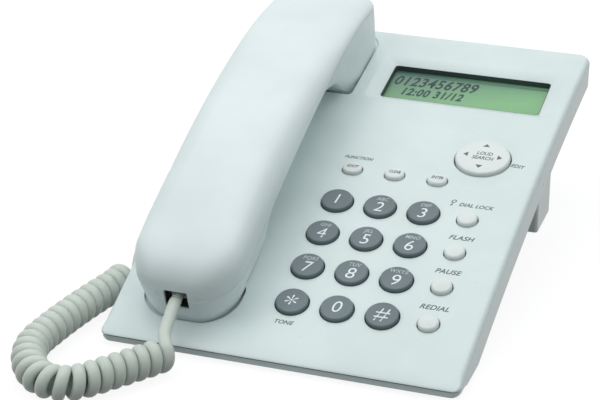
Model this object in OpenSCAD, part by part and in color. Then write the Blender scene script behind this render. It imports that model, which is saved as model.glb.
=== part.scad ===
// Corded desk telephone: a thin curved slab of a base on a rear stand, a long
// handset lying along its left side, and a curly cord on the table beside it.
// Millimetres. +X is to the right, +Y to the rear, +Z up, and the origin is on
// the table, under the middle of the telephone.

/* [Base] */
// Depth of the base, front to rear
base_depth = 208.6; // [205:0.1:212]
// Half of the width of the face at its front edge
front_half_width = 71.2; // [69:0.1:72]
// Half of the width of the face at its rear edge
rear_half_width = 75.2; // [74:0.1:76]
// How far the side walls lean outwards from top to foot
wall_lean = 0.2; // [0:0.1:1]
// Radius of the base's corners, seen from above
corner_radius = 3; // [2.5:0.5:4]
// Rounding of the face's long edges
edge_radius = 2.5; // [1:0.1:3.5]
// Thickness of the slab, from the face to its lower edge
slab_height = 13; // [12.5:0.1:14]
// Height of the lower case's rim below the joint line
rim_height = 2.5; // [2:0.1:3]
// How far the rim stands back from the walls above it
rim_inset = 0.5; // [0.3:0.1:0.8]
// Thickness of the moulded walls
wall = 2.2; // [1.8:0.1:2.4]

/* [Face] */
// Radius of the curved face, seen from the side
face_radius = 1031; // [950:1:1200]
// Slope of the face at the first row of keys, in degrees
face_tilt = 16; // [15:0.1:17]
// Height of the face at the first row of keys
row_z = 33.5; // [33:0.1:35]
// Place of the first row of keys, front to rear
row_y = -20.4; // [-22:0.1:-19]
// Left column of keys, measured from the middle of the base
column_x = -2.3; // [-4:0.1:0]

/* [Keys] */
// Spacing of the columns of keys
column_pitch = 18; // [17:0.1:19]
// Spacing of the rows of keys
row_pitch = 19.7; // [18:0.1:20]
// Diameter of a number key
key_diameter = 12.7; // [12:0.1:13.5]
// Height of a number key above the face
key_rise = 1.6; // [1.3:0.1:2]
// Diameter of a round function key
function_diameter = 7.8; // [7.4:0.1:8.6]
// Length and width of an oval key
oval_size = [7.8, 5.8]; // [5:0.1:9]
// Diameter of the four-way key
navigation_diameter = 22.6; // [21.6:0.2:23]
// Gap round every key but the four-way one
key_gap = 0.3; // [0.25:0.05:0.4]
// Gap round the four-way key, which tilts
navigation_gap = 0.55; // [0.5:0.05:0.6]
// How far a key goes down
key_travel = 1.2; // [0.8:0.1:1.4]

/* [Display] */
// Width and height of the display's opening
display_size = [70.2, 25]; // [20:0.1:75]
// Middle of the display, across the face and along it from the first row
display_place = [28.2, 88.6]; // [20:0.1:95]

/* [Handset] */
// Middle of the handset, across the base
handset_x = -41.8; // [-43:0.1:-40]
// Slope of the handset as it lies, in degrees
handset_tilt = 15; // [14:0.1:16]
// Distance of its mouth end from the handset's own middle
mouth_reach = 95; // [90:0.5:98]
// Distance of its ear end from the handset's own middle
ear_reach = 107; // [100:0.5:107]
// Half of the handset's width
handset_half = 23.1; // [21:0.1:24]
// Thickness of the handset's walls
handset_wall = 2; // [1.6:0.1:2.4]

/* [Cord] */
// Thickness of the cord
cord_diameter = 4.3; // [4:0.1:4.4]
// Outer diameter of its coil
coil_diameter = 13.6; // [12:0.1:13.6]

/* [Hidden] */
$fn = 48;

front_y = -base_depth / 2;
rear_y = base_depth / 2;
arc_y = row_y + face_radius * sin(face_tilt);
arc_z = row_z - face_radius * cos(face_tilt);
front_joint_z = 4.2;
front_foot_z = 1.7;
nose_length = 7;
nose_drop = 1;
big_fn = 720;

white = [0.84, 0.89, 0.89];
key_white = [0.88, 0.9, 0.88];
key_grey = [0.4, 0.45, 0.47];
dark = [0.12, 0.13, 0.14];
metal = [0.72, 0.72, 0.7];
board_green = [0.1, 0.35, 0.2];

// ---------------------------------------------------------------- the face

// Slope of the face at the distance s behind the first row of keys.
function tilt_at(s) = face_tilt - s * 180 / PI / face_radius;

// Height of a surface that lies the depth below the face.
function face_z(y, depth = 0) =
    arc_z + sqrt(pow(face_radius - depth, 2) - pow(y - arc_y, 2));

// Height of the top of the housing, with its rounded nose.
function top_z(y) =
    face_z(y) - nose_drop * pow(max(0, front_y + nose_length - y) / nose_length, 2);

function joint_z(y) = max(front_joint_z, face_z(y, slab_height - rim_height));

function foot_z(y) = max(front_foot_z, face_z(y, slab_height));

// Puts its children on the face, with their +Z along the face's normal.
module on_face(x, s) {
    translate([x, arc_y - face_radius * sin(tilt_at(s)), arc_z + face_radius * cos(tilt_at(s))])
        rotate([tilt_at(s), 0, 0])
            children();
}

// A block given by its middle across and along, and by its two heights.
module block(size, bottom, top, at = [0, 0]) {
    translate([at[0] - size[0] / 2, at[1] - size[1] / 2, bottom])
        cube([size[0], size[1], top - bottom]);
}

// A block with upright rounded corners.
module round_block(size, radius, bottom, top, at = [0, 0]) {
    block([size[0] - 2 * radius, size[1]], bottom, top, at);
    block([size[0], size[1] - 2 * radius], bottom, top, at);
    for (side = [-1, 1], end = [-1, 1])
        translate([
            at[0] + side * (size[0] / 2 - radius), at[1] + end * (size[1] / 2 - radius), bottom
        ])
            cylinder(h = top - bottom, r = radius);
}

// A curved sheet that follows the face between two depths.
module face_sheet(x_range, s_range, top, bottom) {
    intersection() {
        translate([x_range[0], arc_y, arc_z])
            rotate([0, 90, 0])
                difference() {
                    cylinder(h = x_range[1] - x_range[0], r = face_radius - top, $fn = big_fn);
                    translate([0, 0, -1])
                        cylinder(
                            h = x_range[1] - x_range[0] + 2, r = face_radius - bottom, $fn = big_fn
                        );
                }
        on_face((x_range[0] + x_range[1]) / 2, (s_range[0] + s_range[1]) / 2)
            block([x_range[1] - x_range[0] + 4, s_range[1] - s_range[0]], -40, 20);
    }
}

// ------------------------------------------------------------ lofted solids

// A solid through rings of points: every ring has the same number of points.
module loft(rings) {
    n = len(rings[0]);
    last = len(rings) - 1;
    points = [for (ring = rings) each ring];
    sides = [
        for (k = [0 : last - 1], i = [0 : n - 1])
            let (a = k * n + i, b = k * n + (i + 1) % n)
            each [[a, b, b + n], [a, b + n, a + n]]
    ];
    first_end = [[for (i = [n - 1 : -1 : 0]) i]];
    last_end = [[for (i = [0 : n - 1]) last * n + i]];
    polyhedron(points = points, faces = concat(sides, first_end, last_end), convexity = 8);
}

// Places along the base where its housing gets a section.
corner_steps = [0, 0.2, 0.7, 1.6, corner_radius];
middle_steps = 18;
middle_length = base_depth - 2 * corner_radius;
stations = concat(
    [for (d = corner_steps) front_y + d],
    [for (k = [1 : middle_steps - 1]) front_y + corner_radius + middle_length * k / middle_steps],
    [for (k = [len(corner_steps) - 1 : -1 : 0]) rear_y - corner_steps[k]]
);

// How much a rounded corner takes off the half width at y.
function corner_cut(y) =
    let (d = min(y - front_y, rear_y - y, corner_radius))
    corner_radius - sqrt(pow(corner_radius, 2) - pow(corner_radius - d, 2));

function face_half(y) =
    front_half_width
    + (rear_half_width - front_half_width) * (y - front_y) / base_depth
    - corner_cut(y);

function lean_at(y, z) = wall_lean * (top_z(y) - z) / slab_height;

// Section of the upper housing: from its foot over the rounded edges.
function upper_section(y) =
    let (
        top = top_z(y),
        foot = joint_z(y),
        half = face_half(y),
        round = min(edge_radius, (top - foot) * 0.7),
        edge = [
            for (a = [0 : 30 : 90])
                [half - round * (1 - cos(a)), top - round * (1 - sin(a))]
        ],
        right = concat([[half + lean_at(y, foot), foot]], edge)
    )
    concat(
        [for (p = right) [p[0], y, p[1]]],
        [for (k = [len(right) - 1 : -1 : 0]) [-right[k][0], y, right[k][1]]]
    );

// Section of the lower housing's rim, which stands back on all sides.
function lower_section(y) =
    let (
        place = y * (1 - 2 * rim_inset / base_depth),
        foot = foot_z(place),
        joint = joint_z(place) - 0.03,
        half = face_half(y) + wall_lean - rim_inset,
        right = [[half - 0.8, foot], [half, foot + 0.8], [half, joint]]
    )
    concat(
        [for (p = right) [p[0], place, p[1]]],
        [for (k = [len(right) - 1 : -1 : 0]) [-right[k][0], place, right[k][1]]]
    );

// The room inside both housings.
cavity_front = front_y + 15;
cavity_steps = 14;
module cavity() {
    rear = rear_y - wall;
    loft([
        for (k = [0 : cavity_steps])
            let (
                y = cavity_front + (rear - cavity_front) * k / cavity_steps,
                half = front_half_width
                    + (rear_half_width - front_half_width) * (y - front_y) / base_depth
                    - wall - 0.6 - (k == 0 || k == cavity_steps ? 3 : 0),
                top = face_z(y, 2.5),
                bottom = foot_z(y) + wall
            )
            [[half, y, bottom], [half, y, top], [-half, y, top], [-half, y, bottom]]
    ]);
}

// ----------------------------------------------------------- places of keys

key_names = ["1", "2", "3", "4", "5", "6", "7", "8", "9", "star", "0", "hash"];
function key_x(k) = column_x + column_pitch * (k % 3);
function key_s(k) = -row_pitch * floor(k / 3);
function_x = column_x + 3 * column_pitch;
oval_s = 21.2;
navigation_place = [48.5, 38.3];

module at_number(k) {
    on_face(key_x(k), key_s(k))
        children();
}

module at_function(k) {
    on_face(function_x, -row_pitch * k)
        children();
}

module at_oval(k) {
    on_face(column_x + column_pitch * k, oval_s)
        children();
}

module at_navigation() {
    on_face(navigation_place[0], navigation_place[1])
        children();
}

// An oval bar: two half rounds and the block between them.
module oval(size, bottom, top) {
    for (side = [-1, 1])
        translate([side * (size[0] - size[1]) / 2, 0, bottom])
            cylinder(h = top - bottom, d = size[1]);
    block([size[0] - size[1], size[1]], bottom, top);
}

// ------------------------------------------------------- places of handset

// The cradle's frame: +Y along the handset to its ear end, +Z off the base.
handset_y = -1.7;
handset_z = 35;
module in_handset() {
    translate([handset_x, handset_y, handset_z])
        rotate([handset_tilt, 0, 0])
            children();
}

block_bottom = -2;
well_floor = block_bottom - 0.3;
mouth_well = [[39.8, 27.6], -81.5, 15.5];
ear_well = [[46.2, 53.4], 81.1, 13.8];
hook_place = 97;
hook_radius = 4;

// A well given by its size, its middle and its wide corners' radius. Its corners
// towards the handset's middle are tight.
module well(place, grow, bottom, top) {
    across = place[0][0] + 2 * grow;
    along = place[0][1] + 2 * grow;
    wide = place[2] + grow;
    inwards = place[1] < 0 ? 1 : -1;
    hull()
        for (side = [-1, 1])
            translate([
                side * (across / 2 - wide), place[1] - inwards * (along / 2 - wide), bottom
            ])
                cylinder(h = top - bottom, r = wide);
    round_block(
        [across, along - wide], 2 + grow, bottom, top, [0, place[1] + inwards * wide / 2]
    );
}

// The two wells with all that is cut for the handset's ends.
module cradle_cut() {
    well(mouth_well, 0, well_floor, 30);
    well(ear_well, 0, well_floor, 30);
    translate([0, hook_place, -20])
        cylinder(h = 30, r = hook_radius + 0.3);
}

// ------------------------------------------------------------- fixings

screw_places = [[-64, 2], [64, -18], [-11, 116], [66, 114]];
boss_bottom = -8.2;

module at_screws() {
    for (place = screw_places)
        on_face(place[0], place[1])
            children();
}

// ------------------------------------------------------------- base jacks

jack_s = -24.5;
jack_depth = -6.9;
jack_hole = [7.9, 6.9];
line_jack_x = 34;
line_jack_hole = [10, 6.9];

// A frame in the left wall: +Z points out of the base, +Y up the wall.
module at_base_jack() {
    on_face(-72.2, jack_s)
        translate([0, 0, jack_depth])
            rotate([0, -90, 0])
                rotate([0, 0, -90])
                    children();
}

// A frame in the rear wall: +Z points out of the base, +Y up the wall.
module at_line_jack() {
    on_face(line_jack_x, 124.6)
        translate([0, 0, jack_depth + 0.2])
            rotate([-90, 0, 0])
                rotate([0, 0, 180])
                    children();
}

// A jack's block with its socket, open at height 0 and closed below.
module jack_body(hole, outer, depth) {
    difference() {
        block(outer, -depth, -0.3);
        block(hole, -depth + 2, 1);
        block([3.2, 1.4], -depth + 2, 1, [0, hole[1] / 2 + 0.6]);
    }
    for (k = [-1.5 : 1 : 1.5])
        translate([k * 1.02, 0.8 - hole[1] / 2, -depth + 1.8])
            rotate([-10, 0, 0])
                cylinder(h = depth - 5, r = 0.25, $fn = 16);
}

// A four-way plug with its latch, seated in a jack's socket.
module plug_body(length) {
    block([7.6, 5.6], -length, -1.6, [0, -0.3]);
    block([6, 1], -length + 1, -6, [0, 2.9]);
    translate([0, 3, -length + 3])
        rotate([-6, 0, 0])
            block([2.6, 0.7], 0, length - 4);
    translate([0, 0, -2])
        cylinder(h = 2, d = cord_diameter);
}

// ------------------------------------------------------------ upper housing

module key_holes() {
    for (k = [0 : 11])
        at_number(k)
            translate([0, 0, -9])
                cylinder(h = 12, d = key_diameter + 2 * key_gap);
    for (k = [0 : 3])
        at_function(k)
            translate([0, 0, -9])
                cylinder(h = 12, d = function_diameter + 2 * key_gap);
    for (k = [0 : 2])
        at_oval(k)
            oval([oval_size[0] + 2 * key_gap, oval_size[1] + 2 * key_gap], -9, 3);
    at_navigation()
        translate([0, 0, -9])
            cylinder(h = 12, d = navigation_diameter + 2 * navigation_gap);
}

// The low collar round the four-way key.
module navigation_collar() {
    at_navigation()
        translate([0, 0, -0.8])
            cylinder(h = 1.35, r1 = 23.1, r2 = 12, $fn = 96);
}

// The display's opening with a sloping frame round it.
bezel = 5.5;
bezel_depth = 1;
bezel_reach = 2 * bezel * (bezel_depth + 0.7) / bezel_depth;
module display_cut() {
    on_face(display_place[0], display_place[1]) {
        hull() {
            block(display_size, -bezel_depth - 0.1, -bezel_depth);
            block([display_size[0] + bezel_reach, display_size[1] + bezel_reach], 0.69, 0.7);
        }
        block(display_size, -6, 2);
        block([display_size[0] + 3.4, display_size[1] + 3.4], -12, -1.8);
    }
}

// Collars that guide the keys below the skin.
module key_collars() {
    for (k = [0 : 11])
        at_number(k)
            translate([0, 0, -3.2])
                cylinder(h = 1.4, d = key_diameter + 2 * key_gap + 2.4);
}

module base_top_shell() {
    color(white)
        difference() {
            union() {
                difference() {
                    loft([for (y = stations) upper_section(y)]);
                    cavity();
                }
                navigation_collar();
                intersection() {
                    union() {
                        in_handset() {
                            well(mouth_well, 2, well_floor - 2, 10);
                            well(ear_well, 2, well_floor - 2, 10);
                        }
                        at_screws()
                            translate([0, 0, boss_bottom])
                                cylinder(h = 7, r = 3.2);
                        key_collars();
                        for (s = [-72, 56])
                            on_face(26, s)
                                block([84, 1.6], -6.5, -1);
                    }
                    loft([for (y = stations) upper_section(y)]);
                }
            }
            in_handset()
                cradle_cut();
            key_holes();
            display_cut();
            at_screws()
                translate([0, 0, boss_bottom - 1])
                    cylinder(h = 6.4, r = 1.2);
            at_base_jack()
                block([9, 8], -6, 12, [0, 0.2]);
            at_line_jack()
                block([line_jack_hole[0] + 0.6, 8.6], -6, 12, [0, 0.5]);
        }
}

// ------------------------------------------------------------ lower housing

// The deep box under the rear half, which holds the batteries.
belly_s = 66;
belly_size = [112, 92];
belly_bottom = -27;
battery_room = [52, 56];
battery_x = 8;
cover_size = [58, 62];
cover_thickness = 2;
cover_y = belly_size[1] / 2 - cover_size[1] / 2;
room_y = cover_y - 0.6;

module belly_room() {
    round_block(
        [belly_size[0] - 2 * wall, belly_size[1] - 2 * wall], 3, belly_bottom + wall, -8
    );
}

module base_bottom_shell() {
    color(white)
        difference() {
            union() {
                difference() {
                    union() {
                        loft([for (y = stations) lower_section(y)]);
                        on_face(0, belly_s)
                            round_block(belly_size, 5, belly_bottom, -slab_height + 0.6);
                    }
                    cavity();
                    on_face(0, belly_s)
                        belly_room();
                }
                on_face(battery_x, belly_s)
                    block(
                        [battery_room[0] + 2 * wall, battery_room[1] + 2 * wall],
                        belly_bottom + 1, -8.8, [0, room_y]
                    );
                at_screws()
                    translate([0, 0, 1 - slab_height])
                        cylinder(h = slab_height - 1 + boss_bottom - 0.1, r = 4);
            }
            on_face(battery_x, belly_s) {
                block(battery_room, -40, -10, [0, room_y]);
                block(
                    [cover_size[0] + 0.6, cover_size[1] + 10.6],
                    belly_bottom - 1, belly_bottom + cover_thickness + 0.3, [0, cover_y + 5]
                );
            }
            at_screws() {
                translate([0, 0, -20])
                    cylinder(h = 20, r = 1.7);
                translate([0, 0, -20])
                    cylinder(h = 20 - 11.2, r = 3.2);
            }
            stand_peg_holes();
            front_foot_recesses();
            at_base_jack()
                block([9.4, 8], -14, 12);
            at_line_jack()
                block([line_jack_hole[0] + 1, 8.8], -13, 12);
        }
}

// ------------------------------------------------------------- stand, feet

stand_half = 67.2;
stand_y = [44, 69];
leg_width = 8.4;
crossbar_top = 14;
foot_height = 0.8;
peg_places = [-62.9, 62.9];
peg_y = 56.5;
front_feet = [[-57, -86], [57, -86]];

module stand_peg_holes() {
    for (x = peg_places)
        translate([x, peg_y, 20])
            cylinder(h = foot_z(peg_y) - 20 + 1.3, r = 2.05);
}

module front_foot_recesses() {
    for (place = front_feet)
        translate([place[0], place[1], -1])
            cylinder(h = 1 + front_foot_z + 0.6, r = 5.1);
}

module desk_stand() {
    color(white) {
        intersection() {
            difference() {
                round_block(
                    [2 * stand_half, stand_y[1] - stand_y[0]], 1.5, foot_height, 60,
                    [0, (stand_y[0] + stand_y[1]) / 2]
                );
                block([2 * stand_half - 2 * leg_width, 40], crossbar_top, 70, [0, peg_y]);
                block(
                    [2 * stand_half - 2 * leg_width, stand_y[1] - stand_y[0] - 5], 4.4, 60,
                    [0, (stand_y[0] + stand_y[1]) / 2]
                );
                for (side = [-1, 1])
                    block(
                        [leg_width - 4, stand_y[1] - stand_y[0] - 5], 4.4, 34,
                        [side * (stand_half - leg_width / 2), (stand_y[0] + stand_y[1]) / 2]
                    );
            }
            translate([-100, arc_y, arc_z])
                rotate([0, 90, 0])
                    cylinder(h = 200, r = face_radius - slab_height - 0.05, $fn = big_fn);
        }
        for (x = [-40 : 20 : 40])
            block([1.8, stand_y[1] - stand_y[0] - 4], 4, crossbar_top, [x, peg_y]);
        for (x = peg_places)
            translate([x, peg_y, 33])
                cylinder(h = foot_z(peg_y) - 33 + 1.2, r = 2);
    }
}

module rubber_feet() {
    color(dark) {
        for (place = front_feet)
            translate([place[0], place[1], 0])
                cylinder(h = front_foot_z + 0.6, r = 5);
        for (side = [-1, 1])
            block([5.4, 17], 0, foot_height, [side * (stand_half - leg_width / 2), peg_y]);
    }
}

module case_screws() {
    color(metal)
        at_screws() {
            translate([0, 0, -13])
                cylinder(h = 1.8, r = 2.8);
            translate([0, 0, -12])
                cylinder(h = 9, r = 1.15);
        }
}

// ------------------------------------------------------------------ display

module display_window() {
    color([0.8, 0.85, 0.85, 0.4])
        on_face(display_place[0], display_place[1])
            block([display_size[0] + 1.2, display_size[1] + 1.2], -5.4, -4.45);
}

module display_panel() {
    color([0.45, 0.6, 0.42])
        on_face(display_place[0], display_place[1])
            block([display_size[0] + 1.2, display_size[1] + 1.2], -6.85, -5.6);
}

module display_holder() {
    color(dark)
        on_face(display_place[0], display_place[1])
            difference() {
                block([display_size[0] + 2.8, display_size[1] + 2.8], -8, -1.9);
                block([display_size[0] + 0.4, display_size[1] + 0.4], -4.5, -1);
                block([display_size[0] + 1.4, display_size[1] + 1.4], -6.9, -4.4);
                block([display_size[0] - 6, display_size[1] - 6], -10, -6);
            }
}

// --------------------------------------------------------------------- keys

// A round key: a dished cap, its skirt and the flange that holds it in.
module round_key(diameter, rise, dish) {
    radius = diameter / 2;
    rotate_extrude()
        polygon([
            [0, -4.1], [radius + 0.9, -4.1], [radius + 0.9, -3.5], [radius, -3.5],
            [radius, rise - 0.7], [radius - 0.3, rise - 0.2], [radius - 1, rise],
            [0, rise - dish]
        ]);
}

module number_key(k) {
    color(key_grey)
        at_number(k)
            round_key(key_diameter, key_rise, 0.25);
}

module function_key(k) {
    color(key_white)
        at_function(k)
            round_key(function_diameter, 2, -0.35);
}

module oval_key(k) {
    color(key_white)
        at_oval(k) {
            oval(oval_size, -4.1, 1.1);
            oval([oval_size[0] - 1, oval_size[1] - 1], 1, 1.5);
            oval([oval_size[0] + 1.6, oval_size[1] + 1.6], -4.1, -3.5);
        }
}

module navigation_key() {
    radius = navigation_diameter / 2;
    color(key_white)
        at_navigation()
            rotate_extrude()
                polygon([
                    [2.4, -3.9], [radius + 0.7, -3.9], [radius + 0.7, -3.3], [radius, -3.2],
                    [radius, -0.2], [radius - 0.3, 0.5], [radius - 1, 0.9], [radius - 4, 1.3],
                    [0, 1.5], [0, -2.6], [2.4, -2.6]
                ]);
}

module navigation_pivot() {
    color(dark)
        at_navigation()
            translate([0, 0, -7.5])
                cylinder(h = 4.6, r = 2);
}

pad_depth = 4.1 + key_travel + 0.3;
module key_mat() {
    color([0.3, 0.3, 0.32]) {
        difference() {
            face_sheet([-11, 60], [-68, 52], 5.9, 6.9);
            at_navigation()
                translate([0, 0, -12])
                    cylinder(h = 12, r = 2.6);
        }
        for (k = [0 : 11])
            at_number(k)
                translate([0, 0, -6.1])
                    cylinder(h = 6.1 - pad_depth, r = 4);
        for (k = [0 : 3])
            at_function(k)
                translate([0, 0, -6.1])
                    cylinder(h = 6.1 - pad_depth, r = 3);
        for (k = [0 : 2])
            at_oval(k)
                translate([0, 0, -6.1])
                    cylinder(h = 6.1 - pad_depth, r = 3);
    }
}

module key_board() {
    color(board_green)
        on_face(24, -8)
            block([71, 114], -10.4, -8.9);
}

// -------------------------------------------------------- hook switch, base

module hook_switch() {
    color(key_white)
        in_handset()
            translate([0, hook_place, 0]) {
                translate([0, 0, -9.2])
                    cylinder(h = 9.2 + well_floor - 0.05, r = hook_radius);
                translate([0, 0, -9.2])
                    cylinder(h = 0.8, r = hook_radius + 1.2);
            }
}

module hook_board() {
    color(board_green)
        in_handset()
            block([30, 16], -10.6, -9.5, [0, hook_place - 4]);
}

module battery_cover() {
    color(white)
        on_face(battery_x, belly_s) {
            block(cover_size, belly_bottom, belly_bottom + cover_thickness, [0, cover_y]);
            for (k = [0 : 4])
                block(
                    [24, 0.8], belly_bottom - 0.4, belly_bottom + 1, [0, cover_y + 12 + 3 * k]
                );
        }
}

battery_radius = 7.1;
module batteries() {
    color([0.25, 0.3, 0.35])
        on_face(battery_x, belly_s)
            for (k = [-1 : 1])
                translate([k * 15.6, room_y - 24.6, belly_bottom + cover_thickness + 0.5 + battery_radius])
                    rotate([-90, 0, 0]) {
                        cylinder(h = 49, r = battery_radius);
                        translate([0, 0, 49])
                            cylinder(h = 1, r = 2.6);
                    }
}

module battery_contacts() {
    color(metal)
        on_face(battery_x, belly_s)
            for (k = [-1 : 1], end = [-1, 1])
                block([9, 0.4], -23, -14, [k * 15.6, room_y + end * 27.6]);
}

module ringer() {
    color(dark)
        on_face(-42, 12)
            translate([0, 0, -10.7])
                difference() {
                    cylinder(h = 4.6, r = 12);
                    translate([0, 0, 3.6])
                        cylinder(h = 2, r = 1.5);
                }
}

module line_jack() {
    color(dark)
        at_line_jack()
            jack_body(line_jack_hole, [line_jack_hole[0] + 0.4, 8.2], 12);
}

module base_jack() {
    color(dark)
        at_base_jack()
            jack_body(jack_hole, [8.8, 7.4], 13);
}

module base_plug() {
    color([0.9, 0.92, 0.92])
        at_base_jack()
            plug_body(10.6);
}

// ------------------------------------------------------------------ handset

joint_peak = 45;

// Height of the line where the two shells meet.
function shell_joint(u) = 27 - pow(u - joint_peak, 2) / (u < joint_peak ? 1160 : 334);

// Height of the crown along its middle.
function crown(u) = 36 - pow(u - 4, 2) / 770 - 6.5 * pow(max(0, -74 - u) / 21, 2);

// Height of the arch of the underside, and of the flat stretch next to the mouth.
function arch(u) = 23 - pow(u + 2, 2) / 230 - 0.045 * pow(max(0, -36 - u), 2);
function flat_stretch(u) = 2.4 + 0.05 * (u + 58);

// Height of the underside: the arch, ending in the mouth and ear blocks.
function underside(u) =
    max(
        block_bottom,
        max(arch(u), flat_stretch(u))
        - 0.045 * pow(max(0, u - 44), 2) - 0.1 * pow(max(0, -69 - u), 2)
    );

function handset_width(u) = handset_half - 0.9 * pow((u - 10) / 100, 2);

// How far the lower shell's wall tapers with its height, and at its bottom edge.
function wall_draft(u) = lookup(u, [[-96, 3.3], [-60, 3.4], [30, 3.4], [55, 2], [70, 0.3], [108, 0.3]]);
function foot_draft(u) = lookup(u, [[-96, 2.5], [30, 2.5], [55, 2], [70, 0.5], [108, 0.5]]);

ear_corner = 14;
mouth_corner = 17.5;
mouth_taper = 0.3;
quarter_steps = 5;
side_steps = 36;

// Half of the handset's outline, inset by d: from its ear end to its mouth end.
// The taper is a further inset, of which the mouth end gets a part only.
function half_outline(d, taper = 0) =
    let (
        ear = ear_reach - ear_corner,
        mouth = -mouth_reach + mouth_corner,
        inset = d + taper,
        quarter = [for (k = [0 : quarter_steps]) 90 * k / quarter_steps]
    )
    concat(
        [
            for (a = quarter)
                [
                    handset_half - ear_corner + (ear_corner - inset) * sin(a),
                    ear + (ear_corner - inset) * cos(a)
                ]
        ],
        [for (k = [1 : side_steps - 1]) [handset_half - inset, ear + (mouth - ear) * k / side_steps]],
        [
            for (a = quarter)
                [
                    handset_half - mouth_corner + (mouth_corner - inset) * cos(a),
                    mouth - (mouth_corner - d - mouth_taper * taper) * sin(a)
                ]
        ]
    );

// One ring of the handset: inset by d, its height given by the kind of ring.
function narrowed(p) = [p[0] * handset_width(p[1]) / handset_half, p[1]];

function upper_ring(d, share, skin, sunk) =
    let (
        half = [for (p = half_outline(d + skin)) narrowed(p)],
        ring = [
            for (p = half)
                let (low = shell_joint(p[1]) - sunk, high = crown(p[1]) - skin - 1.2 * pow(p[0] / 23, 2))
                [p[0], p[1], low + (high - low) * share]
        ]
    )
    concat(ring, [for (k = [len(ring) - 1 : -1 : 0]) [-ring[k][0], ring[k][1], ring[k][2]]]);

function lower_ring(t, share, skin, raised) =
    let (
        outer = half_outline(skin),
        inner = half_outline(skin, 1),
        half = [
            for (k = [0 : len(outer) - 1])
                let (u = outer[k][1], inset = wall_draft(u) * share + foot_draft(u) * t)
                narrowed(outer[k] + (inner[k] - outer[k]) * inset)
        ],
        ring = [
            for (p = half)
                let (high = shell_joint(p[1]) + raised, low = underside(p[1]) + skin)
                [p[0], p[1], high + (low - high) * share]
        ]
    )
    concat(ring, [for (k = [len(ring) - 1 : -1 : 0]) [-ring[k][0], ring[k][1], ring[k][2]]]);

// A closed dome through rings that are stacked from the joint line outwards.
// Its two caps run straight across from each point to its mirror image.
module dome(rings, upwards) {
    n = len(rings[0]);
    last = len(rings) - 1;
    points = [for (ring = rings) each ring];
    sides = [
        for (k = [0 : last - 1], i = [0 : n - 1])
            let (a = k * n + i, b = k * n + (i + 1) % n)
            each [[a, b + n, b], [a, a + n, b + n]]
    ];
    caps = [
        for (i = [0 : n / 2 - 2])
            let (j = n - 1 - i, m = last * n)
            each [
                [i, i + 1, j - 1], [i, j - 1, j],
                [m + i, m + j - 1, m + i + 1], [m + i, m + j, m + j - 1]
            ]
    ];
    faces = concat(sides, caps);
    polyhedron(
        points = points,
        faces = upwards ? [for (f = faces) [f[2], f[1], f[0]]] : faces,
        convexity = 8
    );
}

round_reach = 11;
function round_share(part) = pow(1 - pow(1 - part, 2.3), 1 / 2.3);
function wall_share(part) = pow(1 - pow(1 - part, 2.6), 1 / 2.6);

upper_steps = [0, 0.05, 0.16, 0.33, 0.55, 0.78, 1];
lower_steps = [0, 0.06, 0.2, 0.42, 0.7, 1];
inner_steps = [0, 0.12, 0.4, 1];

module upper_dome(steps, skin, sunk) {
    dome([for (t = steps) upper_ring(t * round_reach, round_share(t), skin, sunk)], true);
}

module lower_dome(steps, skin, raised) {
    dome([for (t = steps) lower_ring(t, wall_share(t), skin, raised)], false);
}

plug_height = 9.5;
handset_jack_cut = [9.6, 8.2];
plug_x = -0.6;

// A frame in the mouth end: +Z points out of the handset, +Y away from the base.
module at_handset_jack() {
    translate([plug_x, -mouth_reach + 0.6, plug_height])
        rotate([90, 0, 0])
            children();
}

module handset_screw_places() {
    for (u = [-66, 62])
        translate([0, u, 0])
            children();
}

module handset_upper_shell() {
    color(white)
        in_handset()
            difference() {
                union() {
                    difference() {
                        upper_dome(upper_steps, 0, 0);
                        upper_dome(inner_steps, handset_wall, 1);
                    }
                    intersection() {
                        upper_dome(upper_steps, 0, 0);
                        union() {
                            handset_screw_places()
                                translate([0, 0, 18])
                                    cylinder(h = 30, r = 3);
                            for (u = [-40, -14, 12])
                                block([40, 1.4], 27, 50, [0, u]);
                        }
                    }
                }
                handset_screw_places()
                    translate([0, 0, 10])
                        cylinder(h = 18, r = 1.2);
                at_handset_jack()
                    block(handset_jack_cut, -20, 10);
            }
}

grille_ring = 6;
microphone_place = [7.5, -82];
module handset_lower_shell() {
    color(white)
        in_handset()
            difference() {
                union() {
                    difference() {
                        lower_dome(lower_steps, 0, 0);
                        lower_dome(inner_steps, handset_wall, 1);
                    }
                    intersection() {
                        lower_dome(lower_steps, 0, 0);
                        handset_screw_places()
                            translate([0, 0, -5])
                                cylinder(h = 22, r = 4);
                    }
                }
                handset_screw_places() {
                    translate([0, 0, -6])
                        cylinder(h = 40, r = 1.7);
                    translate([0, 0, -6])
                        cylinder(h = 18, r = 3.1);
                }
                for (k = [0 : grille_ring - 1])
                    translate([7 * cos(60 * k), 84 + 7 * sin(60 * k), -6])
                        cylinder(h = 10, r = 1.1);
                translate([0, 84, -6])
                    cylinder(h = 10, r = 1.1);
                for (k = [-1 : 1])
                    translate([microphone_place[0] + 2.6 * k, microphone_place[1], -6])
                        cylinder(h = 10, r = 0.8);
                at_handset_jack()
                    block(handset_jack_cut, -20, 10);
            }
}

module receiver() {
    color(dark)
        in_handset()
            translate([0, 84, 0.2]) {
                cylinder(h = 3, r = 15);
                translate([0, 0, 3])
                    cylinder(h = 4, r = 9);
            }
}

module microphone() {
    color(metal)
        in_handset()
            translate([microphone_place[0], microphone_place[1], 0.2])
                cylinder(h = 5, r = 4.4);
}

module balance_weight() {
    color(metal)
        in_handset()
            block([26, 30], 26.8, 30, [0, 36]);
}

module handset_jack() {
    color(dark)
        in_handset()
            at_handset_jack()
                translate([0, 0, -2.6])
                    jack_body(jack_hole, [handset_jack_cut[0] - 0.2, handset_jack_cut[1] - 0.2], 12);
}

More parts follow.
